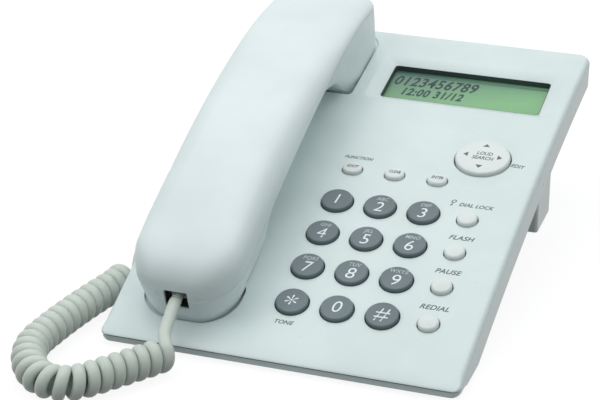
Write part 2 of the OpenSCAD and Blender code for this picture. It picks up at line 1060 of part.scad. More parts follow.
module handset_screws() {
    color(metal)
        in_handset()
            handset_screw_places() {
                translate([0, 0, 9.8])
                    cylinder(h = 2, r = 2.8);
                translate([0, 0, 11])
                    cylinder(h = 12, r = 1.15);
            }
}

module handset_plug() {
    color([0.9, 0.92, 0.92])
        in_handset()
            at_handset_jack() {
                translate([0, 0, -2.6])
                    plug_body(9.6);
                translate([0, 0, -3])
                    cylinder(h = 3.9, d = cord_diameter);
            }
}

// --------------------------------------------------------------------- cord

coil_radius = coil_diameter / 2;

// Middle of the coil, from its rear end at the left to its front end.
coil_route = [
    [-80.6, -48, 6.8], [-80.4, -59, 6.8], [-80.6, -70, 6.8], [-81.3, -79, 6.8],
    [-83.5, -89, 6.8], [-86.2, -100.5, 6.8], [-88.6, -112, 6.8], [-89.5, -122.4, 6.8], [-87.4, -132, 6.8], [-82.2, -140.7, 6.8],
    [-75.5, -146.2, 6.8], [-68.5, -147.6, 6.8], [-62.8, -145.2, 6.8], [-58, -140.2, 6.8],
    [-53.3, -134, 6.8], [-48.3, -127.4, 6.8], [-43.4, -120.8, 6.8], [-39.3, -114.6, 6.8],
];

// From the plug in the handset to the front end of the coil.
handset_lead_route = [
    [-42.4, -96.6, 19.4], [-42.4, -99.6, 18.6], [-42.4, -103.6, 17.1], [-42, -107.6, 15.4],
    [-41, -111.3, 13.3], [-39.6, -114.1, 11.2],
];

// From the rear end of the coil to the plug in the base.
base_lead_route = [
    [-80.6, -49, 11.2], [-80.5, -47, 12.6], [-79.9, -45.1, 14.6], [-78.9, -43.6, 16.7],
    [-77.1, -42.5, 18.5], [-74.8, -42, 19.5], [-72.2, -41.8, 19.9],
];

function unit(v) = v / norm(v);

// A tube of so many sides along a route.
function tube_ring(route, k, radius, sides) =
    let (
        last = len(route) - 1,
        along = unit(route[min(k + 1, last)] - route[max(k - 1, 0)]),
        across = unit(cross(along, [0, 0, 1])),
        up = cross(across, along)
    )
    [
        for (i = [0 : sides - 1])
            let (a = 360 * i / sides)
            route[k] + radius * (cos(a) * across + sin(a) * up)
    ];

module tube(route, radius, sides) {
    loft([for (k = [0 : len(route) - 1]) tube_ring(route, k, radius, sides)]);
}

module cord_handset_lead() {
    color(white)
        tube(handset_lead_route, cord_diameter / 2, 10);
}

module cord_coil() {
    color(white)
        tube(coil_route, coil_radius, 12);
}

module cord_base_lead() {
    color(white)
        tube(base_lead_route, cord_diameter / 2, 10);
}

// ---------------------------------------------------------------- all nodes

base_top_shell();
base_bottom_shell();
desk_stand();
rubber_feet();
case_screws();
display_window();
display_panel();
display_holder();
key_board();
key_mat();
for (k = [0 : 11])
    number_key(k);
function_key(0);  // lock_key
function_key(1);  // flash_key
function_key(2);  // pause_key
function_key(3);  // redial_key
oval_key(0);  // exit_key
oval_key(1);  // clear_key
oval_key(2);  // enter_key
navigation_key();
navigation_pivot();
hook_switch();
hook_board();
battery_cover();
batteries();
battery_contacts();
ringer();
line_jack();
base_jack();
base_plug();
handset_upper_shell();
handset_lower_shell();
receiver();
microphone();
balance_weight();
handset_jack();
handset_screws();
handset_plug();
cord_handset_lead();
cord_coil();
cord_base_lead();
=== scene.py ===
"""Looks of a corded desk telephone: a thin curved base on a rear stand, a long handset
along its left side, a green display, and a curly cord on the table beside it.

Sizes are in millimetres and become metres in make(). +X is to the right, +Y to the
rear, +Z up, and the origin is on the table under the middle of the telephone.
"""

import math

import bmesh
import bpy
import numpy as np
from mathutils import Matrix, Vector


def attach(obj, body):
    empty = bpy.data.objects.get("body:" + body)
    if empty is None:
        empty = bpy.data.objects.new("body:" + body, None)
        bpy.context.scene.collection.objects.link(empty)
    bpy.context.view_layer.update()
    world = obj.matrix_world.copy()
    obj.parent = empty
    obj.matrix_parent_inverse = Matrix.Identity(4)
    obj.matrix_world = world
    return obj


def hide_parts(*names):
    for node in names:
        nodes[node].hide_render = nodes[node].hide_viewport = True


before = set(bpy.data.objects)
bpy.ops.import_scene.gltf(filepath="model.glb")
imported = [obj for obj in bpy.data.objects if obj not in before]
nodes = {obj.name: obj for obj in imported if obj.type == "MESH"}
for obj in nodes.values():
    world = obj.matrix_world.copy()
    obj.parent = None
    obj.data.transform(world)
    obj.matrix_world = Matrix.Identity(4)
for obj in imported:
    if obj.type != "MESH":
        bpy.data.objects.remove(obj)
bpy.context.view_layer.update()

MM = 0.001


# ------------------------------------------------------------------ camera

CAMERA_PLACE = (215.73, -711.46, 369.73)
CAMERA_TURN = (65.155, 0.0, 18.703)
CAMERA_LENS = 118.62


def add_camera():
    data = bpy.data.cameras.new("camera")
    data.sensor_width = 36
    data.lens = CAMERA_LENS
    data.clip_start = 0.05
    data.clip_end = 20
    camera = bpy.data.objects.new("camera", data)
    camera.location = Vector(CAMERA_PLACE) * MM
    camera.rotation_euler = [math.radians(a) for a in CAMERA_TURN]
    bpy.context.scene.collection.objects.link(camera)
    bpy.context.scene.camera = camera


add_camera()

# -------------------------------------------------------------- mesh tools


def make(name, points, faces, sharp=35):
    """A mesh object from points in millimetres, smooth except where it bends sharply."""
    mesh = bpy.data.meshes.new(name)
    mesh.from_pydata((np.asarray(points, float) * MM).tolist(), [], [list(f) for f in faces])
    mesh.validate()
    finish_shading(mesh, sharp)
    piece = bpy.data.objects.new(name, mesh)
    bpy.context.scene.collection.objects.link(piece)
    return piece


def finish_shading(mesh, sharp):
    mesh.polygons.foreach_set("use_smooth", [True] * len(mesh.polygons))
    mesh.set_sharp_from_angle(angle=math.radians(sharp))


def strip_faces(rows, count, closed=True):
    """Quads between rows of points; each row has count points and may close on itself."""
    around = count if closed else count - 1
    return [
        [r * count + i, r * count + (i + 1) % count, (r + 1) * count + (i + 1) % count, (r + 1) * count + i]
        for r in range(rows - 1)
        for i in range(around)
    ]


def loft(name, rings, sharp=35):
    """A closed solid through rings that each run anticlockwise seen from the last ring."""
    rings = np.asarray(rings, float)
    rows, count = rings.shape[:2]
    faces = strip_faces(rows, count)
    faces.append(list(range(count))[::-1])
    faces.append([(rows - 1) * count + i for i in range(count)])
    return make(name, rings.reshape(-1, 3), faces, sharp)


def revolve_points(profile, steps):
    """Points (r cos a, r sin a, z) of a profile of (r, z) pairs that starts and ends at r = 0."""
    profile = np.asarray(profile, float)
    angles = 2 * np.pi * np.arange(steps) / steps
    middle = profile[1:-1]
    ring = np.stack(
        [
            middle[:, None, 0] * np.cos(angles),
            middle[:, None, 0] * np.sin(angles),
            np.repeat(middle[:, 1:2], steps, axis=1),
        ],
        axis=-1,
    )
    points = np.concatenate([[[0, 0, profile[0, 1]]], ring.reshape(-1, 3), [[0, 0, profile[-1, 1]]]])
    faces = [[0, 1 + (i + 1) % steps, 1 + i] for i in range(steps)]
    faces += [[1 + k for k in face] for face in strip_faces(len(middle), steps)]
    last = len(points) - 1
    start = 1 + (len(middle) - 1) * steps
    faces += [[last, start + i, start + (i + 1) % steps] for i in range(steps)]
    return points, faces


def moved(points, matrix):
    """Points in millimetres carried by a 4 by 4 matrix in millimetres."""
    points = np.asarray(points, float)
    matrix = np.array(matrix)
    return points @ matrix[:3, :3].T + matrix[:3, 3]


def revolved(name, profile, matrix, steps=96, sharp=35):
    points, faces = revolve_points(profile, steps)
    return make(name, moved(points, matrix), faces, sharp)


def arc(centre, radius, start, end, steps):
    """Points (r, z) on an arc, by its start and end angles in degrees."""
    angles = np.radians(np.linspace(start, end, steps + 1))
    return [(centre[0] + radius * math.cos(a), centre[1] + radius * math.sin(a)) for a in angles]


def rounded_outline(size, radius, steps=8):
    """Points of a rectangle with round corners, anticlockwise."""
    x, y = size[0] / 2 - radius, size[1] / 2 - radius
    points = []
    for quarter, (sx, sy) in enumerate([(1, 1), (-1, 1), (-1, -1), (1, -1)]):
        for k in range(steps + 1):
            a = math.radians(90 * (quarter + k / steps))
            points.append((sx * x + radius * math.cos(a), sy * y + radius * math.sin(a)))
    return np.array(points)


def prism_points(layers, matrix):
    """Rings of outlines at heights: layers is a list of (outline, z)."""
    rings = []
    for outline, z in layers:
        flat = np.concatenate([outline, np.full((len(outline), 1), z)], axis=1)
        rings.append(moved(flat, matrix))
    return rings


def prism(name, layers, matrix, sharp=35):
    return loft(name, prism_points(layers, matrix), sharp)


def combine(target, tools, operation, sharp=35):
    """Cuts the tools out of the target, or joins them to it, and removes the tools."""
    tray = bpy.data.collections.new("tools")
    for tool in tools:
        bpy.context.scene.collection.objects.unlink(tool)
        tray.objects.link(tool)
    modifier = target.modifiers.new("combine", "BOOLEAN")
    modifier.operation = operation
    modifier.operand_type = "COLLECTION"
    modifier.collection = tray
    modifier.solver = "EXACT"
    bpy.context.view_layer.update()
    graph = bpy.context.evaluated_depsgraph_get()
    result = bpy.data.meshes.new_from_object(target.evaluated_get(graph))
    target.modifiers.clear()
    target.data = result
    for tool in tools:
        bpy.data.objects.remove(tool)
    bpy.data.collections.remove(tray)
    finish_shading(target.data, sharp)
    return target


def cut(target, tools, sharp=35):
    return combine(target, tools, "DIFFERENCE", sharp)


# --------------------------------------------------------------- materials


class Shader:
    """A node material: short calls add a node and join it to the others."""

    def __init__(self, name):
        self.material = bpy.data.materials.new(name)
        self.material.use_nodes = True
        self.tree = self.material.node_tree
        self.bsdf = self.tree.nodes["Principled BSDF"]
        self.place = self.tree.nodes.new("ShaderNodeTexCoord").outputs["Object"]

    def set(self, **values):
        for key, value in values.items():
            self.bsdf.inputs[key.replace("_", " ")].default_value = value

    def noise(self, scale, detail, stretch=None):
        node = self.tree.nodes.new("ShaderNodeTexNoise")
        node.inputs["Scale"].default_value = scale
        node.inputs["Detail"].default_value = detail
        source = self.place
        if stretch:
            mapping = self.tree.nodes.new("ShaderNodeMapping")
            mapping.inputs["Scale"].default_value = stretch
            self.tree.links.new(self.place, mapping.inputs["Vector"])
            source = mapping.outputs["Vector"]
        self.tree.links.new(source, node.inputs["Vector"])
        return node.outputs["Fac"]

    def ramp(self, source, low, high, start=0.35, end=0.65):
        node = self.tree.nodes.new("ShaderNodeValToRGB")
        node.color_ramp.elements[0].position = start
        node.color_ramp.elements[1].position = end
        node.color_ramp.elements[0].color = (*low, 1)
        node.color_ramp.elements[1].color = (*high, 1)
        self.tree.links.new(source, node.inputs["Fac"])
        return node.outputs["Color"]

    def colour(self, source):
        self.tree.links.new(source, self.bsdf.inputs["Base Color"])

    def roughness(self, source, low, high):
        node = self.tree.nodes.new("ShaderNodeMapRange")
        node.inputs["To Min"].default_value = low
        node.inputs["To Max"].default_value = high
        self.tree.links.new(source, node.inputs["Value"])
        self.tree.links.new(node.outputs["Result"], self.bsdf.inputs["Roughness"])

    def bump(self, source, depth, strength):
        node = self.tree.nodes.new("ShaderNodeBump")
        node.inputs["Strength"].default_value = strength
        node.inputs["Distance"].default_value = depth
        self.tree.links.new(source, node.inputs["Height"])
        self.tree.links.new(node.outputs["Normal"], self.bsdf.inputs["Normal"])


def shade(colour, factor):
    return tuple(min(1.0, c * factor) for c in colour)


def moulded_plastic(name, colour, roughness=0.42, grain=2600, depth=0.00002, vary=0.03):
    """Moulded plastic: slight cloudiness in its colour and a fine spark-eroded grain."""
    shader = Shader(name)
    shader.set(IOR=1.48)
    shader.colour(shader.ramp(shader.noise(38, 3), shade(colour, 1 - vary), shade(colour, 1 + vary)))
    shader.roughness(shader.noise(160, 2), roughness - 0.05, roughness + 0.05)
    shader.bump(shader.noise(grain, 1), depth, 0.25)
    return shader.material


housing = moulded_plastic("housing_plastic", (0.68, 0.765, 0.765), roughness=0.3)
handset_plastic = moulded_plastic("handset_plastic", (0.73, 0.805, 0.815), roughness=0.36)
key_white = moulded_plastic("white_key_plastic", (0.74, 0.78, 0.765), roughness=0.35)
key_grey = moulded_plastic("grey_key_plastic", (0.125, 0.165, 0.18), roughness=0.45, vary=0.08)
# dark plastic for the dark parts, and painted shade where it fills the front joint's gap
dark_plastic = moulded_plastic("dark_plastic", (0.012, 0.016, 0.018), roughness=0.5, vary=0.15)
foot_rubber = moulded_plastic("foot_rubber", (0.02, 0.02, 0.021), roughness=0.8, grain=900, depth=0.00008)
mat_rubber = moulded_plastic("mat_rubber", (0.05, 0.055, 0.06), roughness=0.75, grain=1200)
legend_white = moulded_plastic("white_legend_ink", (0.80, 0.86, 0.86), roughness=0.5, vary=0.02)
legend_grey = moulded_plastic("grey_legend_ink", (0.50, 0.57, 0.58), roughness=0.5, vary=0.03)
display_frame_grey = moulded_plastic("display_frame_plastic", (0.04, 0.055, 0.055), roughness=0.5, vary=0.1)
legend_dark = moulded_plastic("dark_legend_ink", (0.10, 0.135, 0.14), roughness=0.55, vary=0.1)
board_green = moulded_plastic("board_lacquer", (0.015, 0.10, 0.04), roughness=0.3, vary=0.12)
battery_jacket = moulded_plastic("cell_jacket", (0.10, 0.12, 0.16), roughness=0.35, vary=0.06)
cord_plastic = moulded_plastic("cord_sheath", (0.60, 0.655, 0.60), roughness=0.38, grain=1500)


def metal(name, colour, roughness, stretch):
    """Bare metal with fine lines along one direction."""
    shader = Shader(name)
    shader.set(Metallic=1.0)
    shader.colour(shader.ramp(shader.noise(60, 2), shade(colour, 0.92), shade(colour, 1.05)))
    lines = shader.noise(700, 2, stretch=stretch)
    shader.roughness(lines, roughness - 0.06, roughness + 0.08)
    shader.bump(lines, 0.00001, 0.3)
    return shader.material


steel = metal("plated_steel", (0.62, 0.62, 0.60), 0.3, (1, 1, 0.1))
iron = metal("weight_iron", (0.25, 0.25, 0.25), 0.55, (1, 1, 1))


def clear_plastic(name, colour):
    """Clear plastic that lets most light through."""
    shader = Shader(name)
    shader.set(IOR=1.5)
    shader.bsdf.inputs["Base Color"].default_value = (*colour, 1)
    shader.bsdf.inputs["Transmission Weight"].default_value = 0.85
    shader.roughness(shader.noise(90, 2), 0.08, 0.13)
    return shader.material


plug_clear = clear_plastic("clear_plug", (0.85, 0.9, 0.9))

# -------------------------------------------------------- the housing's face

FACE_R = 1031.0
FACE_TILT = 16.0
ROW_Y, ROW_Z = -20.4, 33.5
ARC_Y = ROW_Y + FACE_R * math.sin(math.radians(FACE_TILT))
ARC_Z = ROW_Z - FACE_R * math.cos(math.radians(FACE_TILT))
BASE_DEPTH = 208.6
FRONT_Y, REAR_Y = -BASE_DEPTH / 2, BASE_DEPTH / 2
FRONT_HALF, REAR_HALF = 71.2, 75.2
LEAN = -0.1
CORNER = 3.0
EDGE = 2.5
SLAB = 13.0
RIM = 2.5
WALL, FACE_WALL = 2.2, 2.5
RIM_LAP = 0.6
NOSE_LENGTH, NOSE_DROP = 6.0, 0.95
SOLID_FRONT = 15.0
BELOW = 20.0


def face_z(y, depth=0.0):
    return ARC_Z + math.sqrt((FACE_R - depth) ** 2 - (y - ARC_Y) ** 2)


def top_z(y):
    """The face's height, with the front edge rounded down to the nose."""
    share = min(1.0, max(0.0, FRONT_Y + NOSE_LENGTH - y) / NOSE_LENGTH)
    return face_z(y) - NOSE_DROP * (1 - math.sqrt(1 - share**2))


def joint_z(y):
    """Height of the joint line between the two housings."""
    return max(4.2, face_z(y, SLAB - RIM))


def foot_z(y):
    """Height of the rim's lower edge."""
    return max(1.7, face_z(y, SLAB))


def upper_foot(y):
    """The upper housing's lower edge: at the joint line in front, at the rim's foot behind."""
    share = min(1.0, max(0.0, (y - FRONT_Y - 4) / 8))
    share = share * share * (3 - 2 * share)
    return 0.3 + joint_z(y) * (1 - share) + foot_z(y) * share


def corner_cut(y):
    """How far the round corners pull the sides in at y."""
    d = min(y - FRONT_Y, REAR_Y - y, CORNER)
    return CORNER - math.sqrt(CORNER**2 - (CORNER - d) ** 2)


def straight_half(y):
    """Half the width at y, without the round corners."""
    return FRONT_HALF + (REAR_HALF - FRONT_HALF) * (y - FRONT_Y) / BASE_DEPTH


def face_frame(x, s, height=0.0):
    """Matrix of a place on the face: x across, s along it from the first row of keys."""
    tilt = math.radians(FACE_TILT) - s / FACE_R
    place = Matrix.Translation(
        (x, ARC_Y - (FACE_R + height) * math.sin(tilt), ARC_Z + (FACE_R + height) * math.cos(tilt))
    )
    return place @ Matrix.Rotation(tilt, 4, "X")


def stations():
    """Places along the base, close together at its rounded corners."""
    edge = [CORNER * (1 - math.cos(a)) for a in np.linspace(0, math.pi / 2, 13)]
    middle = np.linspace(FRONT_Y + CORNER, REAR_Y - CORNER, 100)[1:-1]
    return [FRONT_Y + d for d in edge] + list(middle) + [REAR_Y - d for d in edge[::-1]]


def both_sides(y, right):
    """A ring at y: the right half's points (x, z) from below, then their mirror images."""
    return [(x, y, z) for x, z in right] + [(-x, y, z) for x, z in right[::-1]]


def upper_section(y):
    top, foot, half = top_z(y), upper_foot(y), straight_half(y) - corner_cut(y)
    rounding = min(EDGE, (top - foot) * 0.7)
    lean = LEAN / SLAB
    low = [(half + lean * (top - z), z) for z in np.linspace(foot, top - rounding, 8)[:-1]]
    edge = [
        (half - rounding * (1 - math.cos(a)), top - rounding * (1 - math.sin(a)))
        for a in np.linspace(0, math.pi / 2, 9)
    ]
    across = [(x, top) for x in np.linspace(half - rounding, 0, 32)[1:-1]]
    return both_sides(y, low + edge + across)


def cavity_sections():
    """The hollow of the upper housing, behind its solid front."""
    rings = []
    for y in np.linspace(FRONT_Y + SOLID_FRONT, REAR_Y - WALL, 40):
        half = straight_half(y) - WALL - RIM_LAP
        top = face_z(y, FACE_WALL)
        bottom = foot_z(y) - BELOW
        rings.append([(half, y, bottom), (half, y, top), (-half, y, top), (-half, y, bottom)])
    return rings


def rim_sections():
    """The room that the lower housing's rim takes inside the upper housing's edge."""
    rings = []
    for y in stations():
        half = straight_half(y) - corner_cut(y) - 0.3
        top, bottom = joint_z(y) + 0.28, foot_z(y) - BELOW
        inner = y * (1 - RIM_LAP / BASE_DEPTH)
        rings.append([(half, inner, bottom), (half, inner, top), (-half, inner, top), (-half, inner, bottom)])
    return rings


# ---------------------------------------------------------- places of keys

COLUMN_X, COLUMN_PITCH, ROW_PITCH = -2.3, 18.0, 19.7
KEY_GAP = 0.45
NUMBER_R = 12.7 / 2
FUNCTION_R = 8.1 / 2
OVAL = (8.0, 6.7)
OVAL_ROW = 21.2
NAVIGATION_R = 11.3
NAVIGATION_PLACE = (48.5, 38.3)
COLLAR_R, COLLAR_REACH, COLLAR_FOOT, COLLAR_TOP = 12.4, 23.1, -0.8, 0.5
DISPLAY = (70.2, 26.0)
DISPLAY_PLACE = (27.7, 90.7)
BEZEL, BEZEL_DEPTH = 5.5, 2.0
CUT_LOW, CUT_HIGH = -9.0, 4.0
BASE_JACK_PLACE = (-72.2, -24.5, -6.9)
LINE_JACK_PLACE = (34, 124.6, -6.7)
HANDSET_PLACE, HANDSET_TILT = (-41.8, -1.7, 35.0), 15.0

NUMBER_NODES = [f"key_{n}" for n in (*"123456789", "star", "0", "hash")]
FUNCTION_NODES = ["lock_key", "flash_key", "pause_key", "redial_key"]
OVAL_NODES = ["exit_key", "clear_key", "enter_key"]


def number_frame(k):
    return face_frame(COLUMN_X + COLUMN_PITCH * (k % 3), -ROW_PITCH * (k // 3))


def function_frame(k):
    return face_frame(COLUMN_X + 3 * COLUMN_PITCH, -ROW_PITCH * k)


def oval_frame(k):
    return face_frame(COLUMN_X + COLUMN_PITCH * k, OVAL_ROW)


def navigation_frame():
    return face_frame(*NAVIGATION_PLACE)


def display_frame():
    return face_frame(*DISPLAY_PLACE)


def handset_frame():
    return Matrix.Translation(HANDSET_PLACE) @ Matrix.Rotation(math.radians(HANDSET_TILT), 4, "X")


# ------------------------------------------------------------ upper housing


def hole(name, radius, matrix, bottom=CUT_LOW, top=CUT_HIGH, flare=0.25):
    """A round cutter whose mouth widens a little, as a moulded hole's edge does."""
    wide = radius + flare
    profile = [(0, bottom), (radius, bottom), (radius, -flare), (wide, flare), (wide, top), (0, top)]
    return revolved(name, profile, matrix)


def oval_outline(size, grow):
    """An oval bar's outline: two half circles joined by straight sides."""
    radius = size[1] / 2 + grow
    reach = (size[0] - size[1]) / 2
    angles = np.linspace(-math.pi / 2, math.pi / 2, 24)
    right = [(reach + radius * math.cos(a), radius * math.sin(a)) for a in angles]
    return np.array(right + [(-x, -y) for x, y in right])


def key_hole_tools():
    tools = [hole(f"hole_{k}", NUMBER_R + KEY_GAP, number_frame(k)) for k in range(12)]
    tools += [hole(f"function_hole_{k}", FUNCTION_R + KEY_GAP, function_frame(k)) for k in range(4)]
    for k in range(3):
        tight, wide = oval_outline(OVAL, KEY_GAP), oval_outline(OVAL, KEY_GAP + 0.2)
        layers = [(tight, CUT_LOW), (tight, -0.2), (wide, 0.2), (wide, CUT_HIGH)]
        tools.append(prism(f"oval_hole_{k}", layers, oval_frame(k)))
    tools.append(hole("navigation_hole", NAVIGATION_R + 0.5, navigation_frame(), flare=0.2))
    return tools


def display_outline(grow, radius):
    """The display opening's outline, larger by grow."""
    return rounded_outline((DISPLAY[0] + grow, DISPLAY[1] + grow), radius)


def display_tools():
    """Cutters of the display's opening with its sloping frame, and of the room behind it."""
    mouth = display_outline(0, 1.6)
    layers = [(mouth, CUT_LOW), (mouth, -BEZEL_DEPTH - 0.15), (display_outline(0.3, 1.7), -BEZEL_DEPTH)]
    for height in (0.0, 0.7):
        layers.append((display_outline(2 * BEZEL * (1 + height / BEZEL_DEPTH), 2.0), height))
    room = [(display_outline(3.4, 1.6), z) for z in (-12, -2.45)]
    return [prism("display_cutter", layers, display_frame()), prism("display_room", room, display_frame())]


# size, middle, radius of the outer corners, radius of the inner ones, side of the inner ones
MOUTH_WELL = ((39.8, 25.0), -82.8, 15.5, 6, 1)
EAR_WELL = ((46.2, 53.4), 81.1, 13.8, 2, -1)
WELL_FLOOR = -2.3
HOOK_PLACE, HOOK_R = (0, 97, 0), 4.3


def well_outline(size, u, wide, tight, inner, grow):
    """A well's outline: wide corners at the handset's end, tight ones towards its middle."""
    x, y = size[0] / 2 + grow, size[1] / 2 + grow
    points = []
    for quarter, (sx, sy) in enumerate([(1, 1), (-1, 1), (-1, -1), (1, -1)]):
        radius = (tight if sy == inner else wide) + grow
        middle = sx * (x - radius), u + sy * (y - radius)
        for a in np.radians(np.linspace(90 * quarter, 90 * quarter + 90, 17)):
            points.append((middle[0] + radius * math.cos(a), middle[1] + radius * math.sin(a)))
    return np.array(points)


def well_tools(grow, bottom, top):
    return [
        prism(name, [(well_outline(*well, grow), bottom), (well_outline(*well, grow), top)], handset_frame())
        for name, well in (("mouth_well", MOUTH_WELL), ("ear_well", EAR_WELL))
    ]


def navigation_rise():
    """The low collar round the four-way key, blended into the face."""
    profile = [(0, COLLAR_FOOT), (COLLAR_REACH, COLLAR_FOOT), (COLLAR_R, COLLAR_TOP)]
    profile += [(12.2, 0.53), (11.9, 0.54), (0, 0.54)]
    return revolved("navigation_rise", profile, navigation_frame(), 128, 60)


def wall_opening(name, size, place, matrix):
    outline = rounded_outline(size, 0.3, 2) + np.array(place)
    return prism(name, [(outline, -6), (outline, 12)], matrix)


def turned(axis, degrees):
    return Matrix.Rotation(math.radians(degrees), 4, axis)


def base_jack_frame():
    return face_frame(*BASE_JACK_PLACE) @ turned("Y", -90) @ turned("Z", -90)


def line_jack_frame():
    return face_frame(*LINE_JACK_PLACE) @ turned("X", -90) @ turned("Z", 180)


def add_upper_housing():
    shell = loft("upper_housing", [upper_section(y) for y in stations()])
    combine(shell, [navigation_rise()], "UNION")
    room = loft("cavity", cavity_sections())
    cut(room, well_tools(2, WELL_FLOOR - 2, 12))
    tools = [room, loft("rim_room", rim_sections())] + well_tools(0, WELL_FLOOR, 30)
    tools.append(hole("hook_hole", HOOK_R, handset_frame() @ Matrix.Translation(HOOK_PLACE), -20, 10, 0.2))
    tools += key_hole_tools() + display_tools()
    tools.append(wall_opening("cord_opening", (9, 8), (0, 0.2), base_jack_frame()))
    tools.append(wall_opening("line_opening", (10.6, 8.6), (0, 0.5), line_jack_frame()))
    cut(shell, tools)
    shell.data.materials.append(housing)
    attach(shell, "base")
    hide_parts("base_top_shell")


def add_joint_shadow_strip():
    """A dark strip in the joint between the two housings, round the front edge: painted shade of the gap
    under the upper housing's edge.
    """
    places = [FRONT_Y + d for d in (7, 5, 4, 3, 2.2, 1.5, 0.9, 0.45, 0.12, 0)]
    plan = [(straight_half(y) - corner_cut(y) - 0.3, y + 0.3) for y in places]
    plan += [(-x, y) for x, y in plan[::-1]]
    plan = np.array(plan)
    inward = np.stack([plan[:, 0] * (1 - 0.6 / FRONT_HALF), plan[:, 1] + 0.5], axis=1)
    rings = [[(*a, 4.5), (*b, 4.5), (*b, 4.06), (*a, 4.06)] for a, b in zip(plan.tolist(), inward.tolist())]
    line = loft("joint_shadow_strip", rings)
    fix_outside(line)
    # the dark material here is painted shade of the gap under the upper housing's front edge
    line.data.materials.append(dark_plastic)
    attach(line, "base")


# ------------------------------------------------------------------ handset

MOUTH_REACH, EAR_REACH = 95.0, 107.0
HANDSET_HALF = 23.1
EAR_CORNER, MOUTH_CORNER = 14.0, 17.5
MOUTH_TAPER = 0.3
ROUND_REACH = 11.0
JOINT_PEAK = 45.0
JOINT_GAP = 0.16
BLOCK_CORNER, BLOCK_HALF = 6.0, 22.2
JACK_PLACE = (-0.6, -94.4, 9.5)
SOUND_U, SOUND_RING = 84, 7
VOICE_U, VOICE_X = -82, 7.5
SCREW_U = (-66, 62)
TURN_STEPS, END_STEPS, SIDE_STEPS = 16, 44, 190


def shell_joint(u):
    """Height of the joint line between the two shells."""
    return 27 - (u - JOINT_PEAK) ** 2 / np.where(u < JOINT_PEAK, 1160, 334)


def crown(x, u):
    """Height of the handset's back, which falls away more at the mouth."""
    return 35.8 - (u - 4) ** 2 / 770 - 2.8 * (np.maximum(0, -77 - u) / 18) ** 2 - 1.2 * (x / 23) ** 2


def underside(x, u):
    """An arch that runs into a flat stretch next to the mouth, with a block at each end.

    The blocks' faces towards the middle start later near the sides, by a quarter circle.
    """
    side = np.clip(np.abs(x) - BLOCK_HALF + BLOCK_CORNER, 0, BLOCK_CORNER)
    late = BLOCK_CORNER - np.sqrt(BLOCK_CORNER**2 - side**2)
    arch = 23 - (u + 2) ** 2 / 230 - 0.045 * np.maximum(0, -36 - u) ** 2
    high = np.maximum(arch, 2.4 + 0.05 * (u + 58))
    ear, mouth = np.maximum(0, u - 44 - late), np.maximum(0, -69 - u)
    return np.maximum(-2, high - 0.045 * ear**2 - 0.1 * mouth**2)


def narrowed(points):
    """Outline points pulled in a little towards the handset's two ends."""
    width = HANDSET_HALF - 0.9 * ((points[:, 1] - 10) / 100) ** 2
    return np.stack([points[:, 0] * width / HANDSET_HALF, points[:, 1]], axis=1)


def outline(inset, taper=0.0):
    """The handset's outline, inset: down its right side to the mouth, and up its left side.

    The taper is a further inset, of which the mouth end gets a part only.
    """
    turn = np.linspace(0, math.pi / 2, TURN_STEPS + 1)
    ear, mouth = EAR_REACH - EAR_CORNER, -MOUTH_REACH + MOUTH_CORNER
    radius = EAR_CORNER - inset - taper
    first = np.stack([HANDSET_HALF - EAR_CORNER + radius * np.sin(turn), ear + radius * np.cos(turn)], axis=1)
    side = np.linspace(ear, mouth, SIDE_STEPS + 2)[1:-1]
    straight = np.stack([np.full(len(side), HANDSET_HALF - inset - taper), side], axis=1)
    radius = MOUTH_CORNER - inset - taper, MOUTH_CORNER - inset - MOUTH_TAPER * taper
    last = np.stack(
        [HANDSET_HALF - MOUTH_CORNER + radius[0] * np.cos(turn), mouth - radius[1] * np.sin(turn)], axis=1
    )
    half = np.concatenate([first, straight, last])
    across = np.linspace(1, -1, END_STEPS + 1)[1:-1, None] * [1, 0]
    at_mouth = half[-1] * [0, 1] + half[-1, 0] * across
    at_ear = half[0] * [0, 1] - half[0, 0] * across
    return np.concatenate([half, at_mouth, half[::-1] * [-1, 1], at_ear])


HALF_COUNT = TURN_STEPS + SIDE_STEPS + TURN_STEPS + 2


def upper_ring(t):
    """Ring of the upper shell: t runs from 0 at the joint line to 1 on the crown."""
    flat = narrowed(outline(t * ROUND_REACH))
    low = shell_joint(flat[:, 1]) + JOINT_GAP
    high = crown(flat[:, 0], flat[:, 1])
    power = np.interp(flat[:, 1], [-96, -70, -40], [3.4, 3.0, 2.3])
    share = (1 - (1 - t) ** power) ** (1 / power)
    return np.stack([flat[:, 0], flat[:, 1], low + (high - low) * share], axis=1)


def lower_ring(t):
    """Ring of the lower shell: t runs from 0 at the joint line to 1 on the underside."""
    share = (1 - (1 - t) ** 2.6) ** (1 / 2.6)
    outer, inner = outline(0), outline(0, 1)
    u = outer[:, 1]
    inset = np.interp(u, [-96, -60, 30, 55, 70, 108], [3.3, 3.4, 3.4, 2, 0.3, 0.3]) * share
    inset += np.interp(u, [-96, -76, -69, -60, -52, 30, 55, 70], [2.5, 2.5, 0.3, 0.75, 1.5, 2.5, 2, 0.5]) * t
    flat = narrowed(outer + (inner - outer) * inset[:, None])
    high = shell_joint(flat[:, 1]) - JOINT_GAP
    return np.stack([flat[:, 0], flat[:, 1], high + (underside(*flat.T) - high) * share], axis=1)


